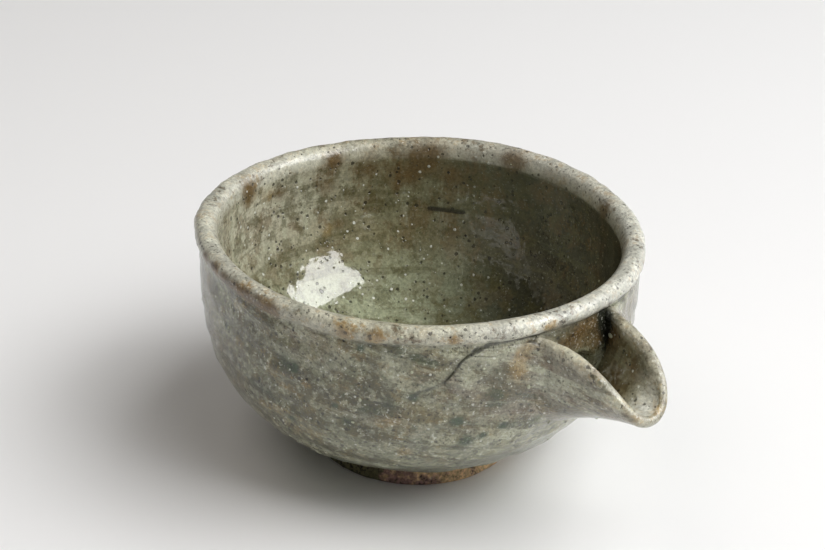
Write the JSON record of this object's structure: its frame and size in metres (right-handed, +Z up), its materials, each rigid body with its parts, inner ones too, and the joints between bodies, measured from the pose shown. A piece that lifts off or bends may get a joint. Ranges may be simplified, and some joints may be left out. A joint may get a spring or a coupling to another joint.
{
  "type": "katakuchi sake pourer",
  "caption": "Thrown stoneware bowl with a rolled rim, a turned foot ring and an open trough spout luted over a round pour hole, in a speckled grey-green ash glaze.",
  "frame": {"origin": "centre of the foot ring, on the plane that it stands on", "axes": "+Z up along the bowl's axis, +X along the spout towards its lip"},
  "size_m": [0.158, 0.13, 0.07],
  "materials": {
    "ash_glaze": "glossy grey-green ash glaze with iron specks and feldspar grains",
    "bare_clay": "rough, unglazed, scorched brown"
  },
  "bodies": {
    "root": {"bowl": "ash_glaze", "foot_ring": "bare_clay", "spout": "ash_glaze", "luting_coil": "ash_glaze"}
  },
  "joints": []
}
